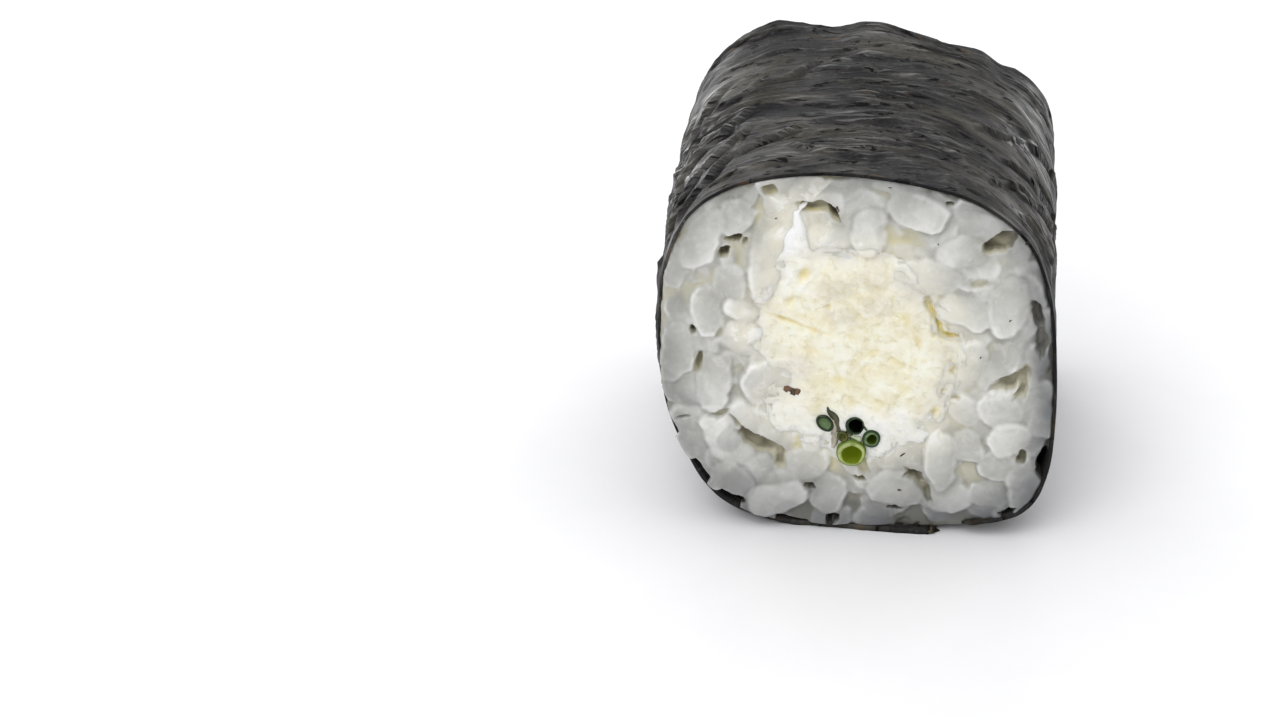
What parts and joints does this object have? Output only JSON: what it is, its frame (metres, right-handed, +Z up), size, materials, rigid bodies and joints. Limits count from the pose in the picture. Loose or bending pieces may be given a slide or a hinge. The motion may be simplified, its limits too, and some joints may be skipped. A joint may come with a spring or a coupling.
{
  "type": "cream cheese maki",
  "caption": "Thin sushi roll piece lying on its side: nori sheet round sticky rice with a cream cheese and chive filling, knife-cut at both ends.",
  "frame": {"origin": "on the resting surface, under the middle of the roll's box", "axes": "+Z up, roll axis along Y, the cut that shows best faces -Y, +X to the right when looking at that cut"},
  "size_m": [0.0294, 0.0284, 0.0299],
  "materials": {
    "nori": "dark charcoal dried seaweed sheet, fine fibres and creases, slightly glossy",
    "rice": "moist cooked short grain rice, translucent white",
    "cream_cheese": "smeared warm white soft cheese with small pits",
    "chive": "wet fresh green, paler at the cut"
  },
  "bodies": {
    "root": {"nori": "nori", "rice": "rice", "cream_cheese": "cream_cheese", "chive_wide": "chive", "chive_dark": "chive", "chive_ringed": "chive", "chive_oval": "chive", "chive_thin": "chive"}
  },
  "joints": []
}
